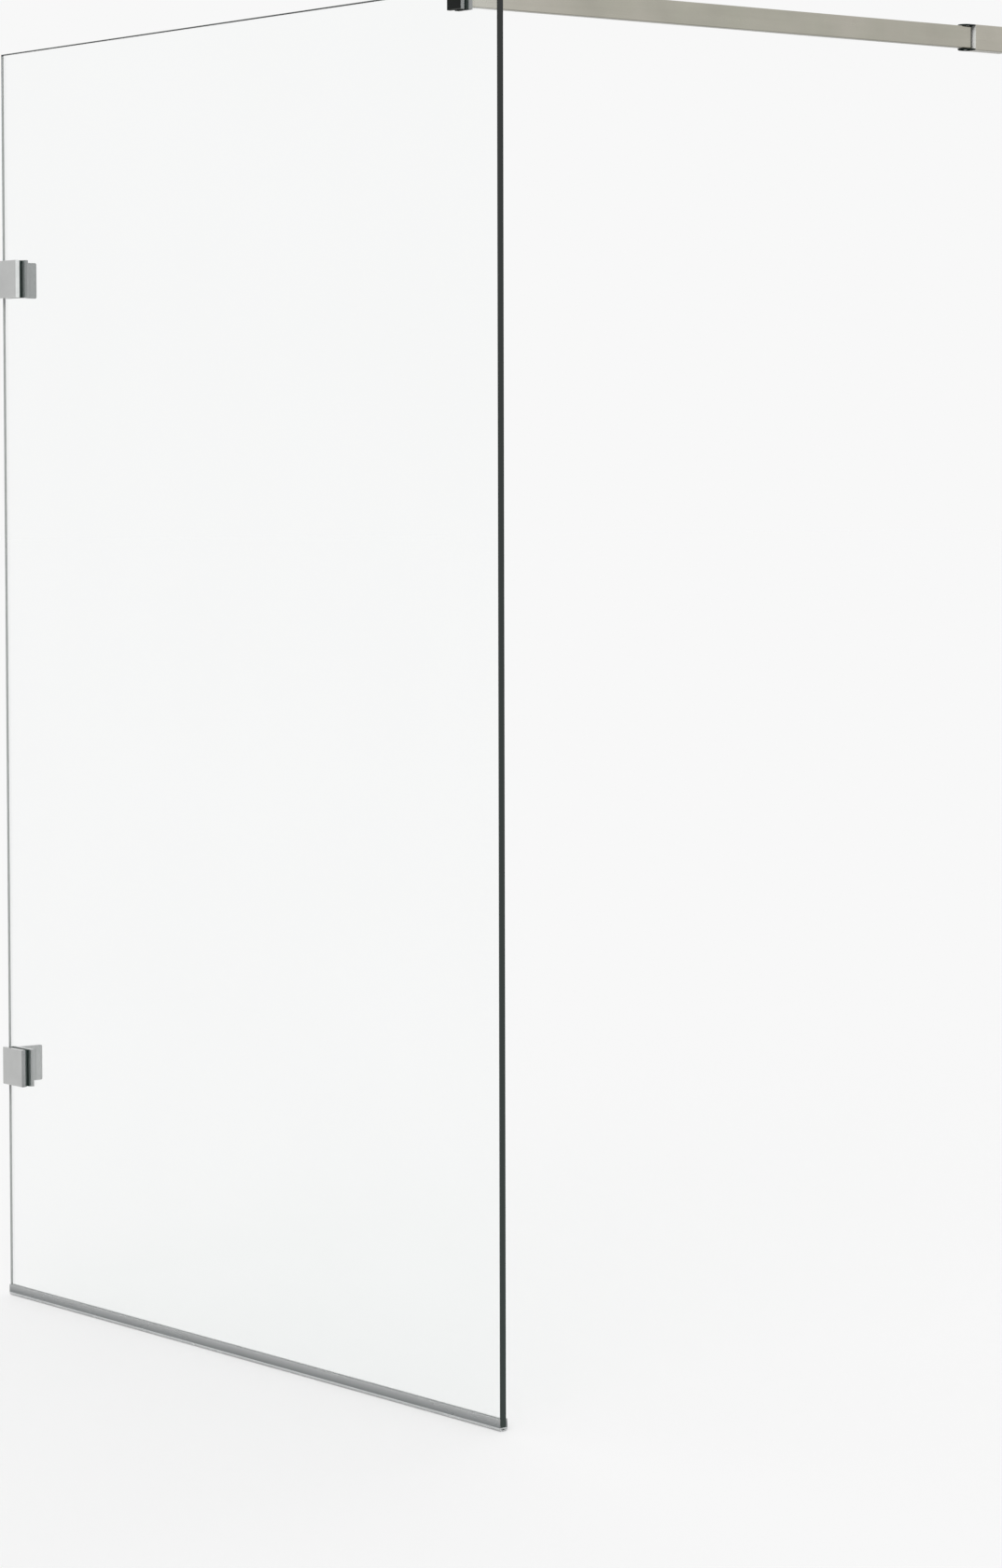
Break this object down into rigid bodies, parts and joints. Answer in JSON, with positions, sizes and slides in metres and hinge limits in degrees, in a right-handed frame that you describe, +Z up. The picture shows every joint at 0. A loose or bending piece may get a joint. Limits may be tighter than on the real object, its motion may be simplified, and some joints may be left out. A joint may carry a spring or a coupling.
{
  "type": "bath screen",
  "caption": "Fixed frameless glass bath screen: square wall clamps, clear bottom seal and a rectangular stabiliser bar with a swivelling wall bracket.",
  "frame": {"origin": "foot of the screen at the side wall: where the middle plane of the glass meets the wall plane and the top of the bath's rim", "axes": "+X along the glass from the side wall to its free edge, +Y over the bath towards the wall that the bar is fixed to, +Z up"},
  "size_m": [1, 0.7834, 1.5115],
  "materials": {
    "glass": "clear toughened glass with polished arrises and a green tint at its edges",
    "seal": "clear soft plastic",
    "chrome": "polished plating",
    "satin_metal": "fine satin, brushed along the bar",
    "inner_metal": "machined",
    "gasket": "matt",
    "nylon": "white nylon",
    "screw_steel": "stainless"
  },
  "bodies": {
    "screen": {"glass_panel": "glass", "bottom_seal": "seal", "lower_clamp_body": "chrome", "lower_clamp_plate": "chrome", "upper_clamp_body": "chrome", "upper_clamp_plate": "chrome", "outer_gaskets": "gasket", "inner_gaskets": "gasket", "glass_bushes": "nylon", "clamp_screws": "screw_steel", "bar_saddle": "chrome", "saddle_liner_strip": "gasket", "saddle_grub_screws": "screw_steel", "spigot_fixing_screw": "screw_steel", "bar_grub_screw": "screw_steel", "pin_lock_grub_screw": "screw_steel", "support_bar": "satin_metal", "bar_spigot": "inner_metal", "bar_end_plug": "inner_metal"},
    "wall_bracket": {"wall_fork": "satin_metal", "wall_plate": "satin_metal", "fork_grub_screw": "screw_steel", "pivot_pin": "screw_steel", "pivot_washers": "nylon"}
  },
  "joints": [
    {"name": "bar_swivel", "type": "hinge", "parent": "screen", "child": "wall_bracket", "pos_m": [0.932, 0.7125, 1.497], "axis": [0, 0, 1], "range_deg": [-90, 90]}
  ]
}
